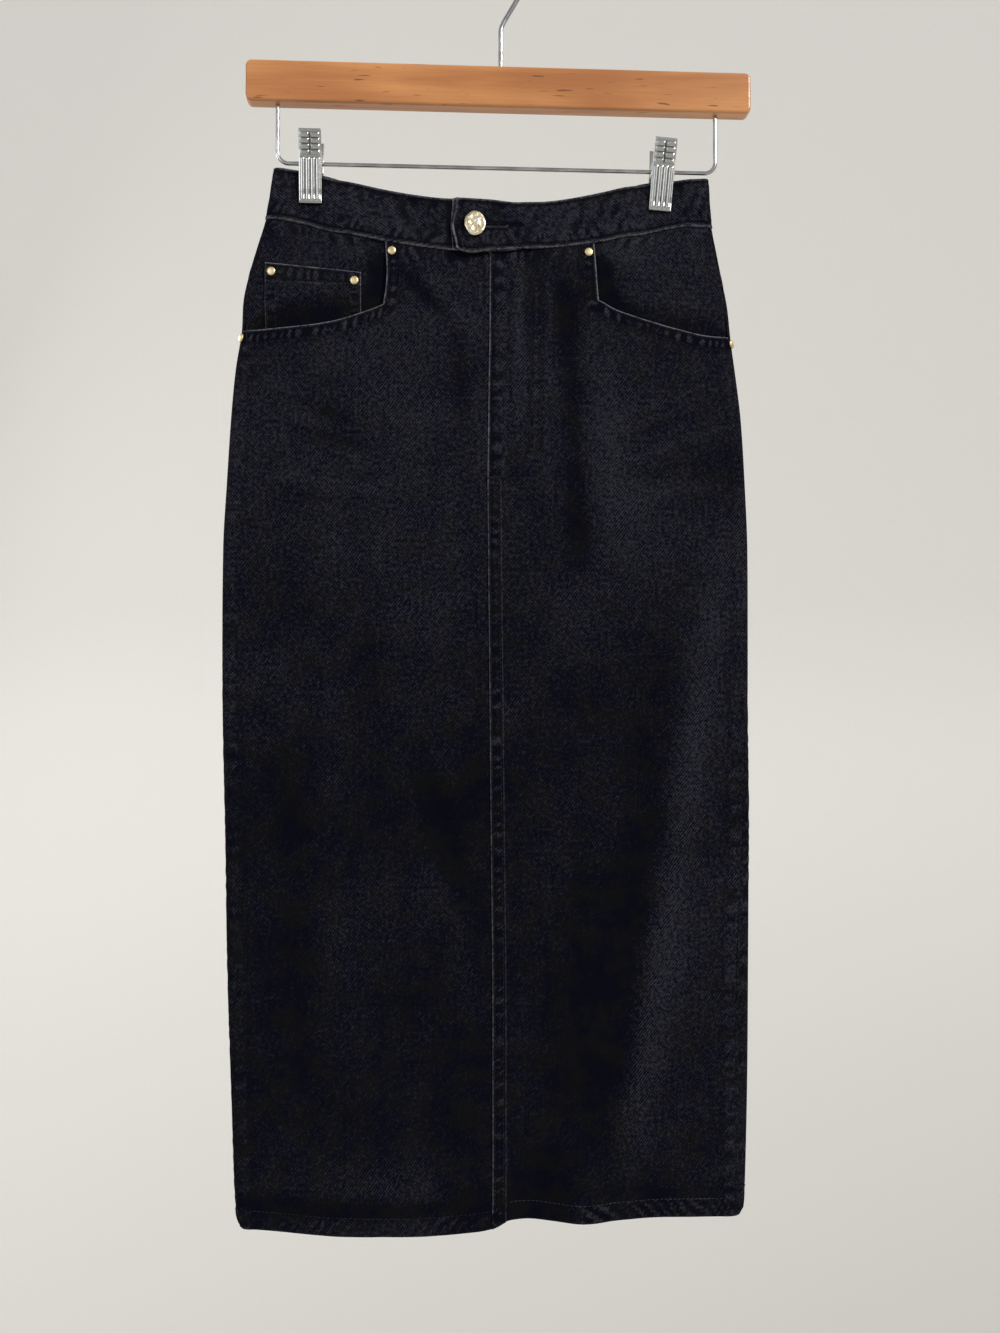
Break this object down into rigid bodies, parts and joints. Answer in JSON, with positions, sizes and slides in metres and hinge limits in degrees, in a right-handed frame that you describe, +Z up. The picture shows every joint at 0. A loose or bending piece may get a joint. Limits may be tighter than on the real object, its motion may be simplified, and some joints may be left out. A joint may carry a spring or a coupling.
{
  "type": "denim skirt on a clip hanger",
  "caption": "Straight knee-length washed black denim skirt with a fly front, cut-away pockets, a coin pocket and a tab waistband, held flat by clips on a wooden bar hanger.",
  "frame": {"origin": "inside top of the hanger's hook, where a rail carries it", "axes": "+X across the skirt to the right as seen from its front, +Y from the front to the back, +Z up along the hanging skirt"},
  "size_m": [0.3821, 0.0294, 0.9285],
  "materials": {
    "denim": "washed black twill, matt",
    "pocket_denim": "less washed black twill, matt",
    "waistband_denim": "washed black twill, two layers",
    "zip_tape": "woven tape with a closed metal chain",
    "gold_metal": "pale gold, hammered and polished",
    "wood": "lacquered, satin",
    "chromed_steel": "polished"
  },
  "bodies": {
    "root": {"front_left": "denim", "front_right": "denim", "back_left": "denim", "back_right": "denim", "back_yoke_left": "denim", "back_yoke_right": "denim", "pocket_facing_left": "pocket_denim", "pocket_facing_right": "pocket_denim", "coin_pocket": "pocket_denim", "waistband_underlap": "waistband_denim", "waistband_tab": "waistband_denim", "waistband_back": "waistband_denim", "fly_zip": "zip_tape", "button": "gold_metal", "rivet_pocket_left": "gold_metal", "rivet_pocket_right": "gold_metal", "rivet_coin_near": "gold_metal", "rivet_coin_far": "gold_metal", "rivet_side_left": "gold_metal", "rivet_side_right": "gold_metal", "hanger_bar": "wood", "hanger_hook": "chromed_steel", "hanger_rod": "chromed_steel", "clip_front_left": "chromed_steel", "clip_back_left": "chromed_steel", "clip_spring_left": "chromed_steel", "clip_front_right": "chromed_steel", "clip_back_right": "chromed_steel", "clip_spring_right": "chromed_steel"}
  },
  "joints": []
}
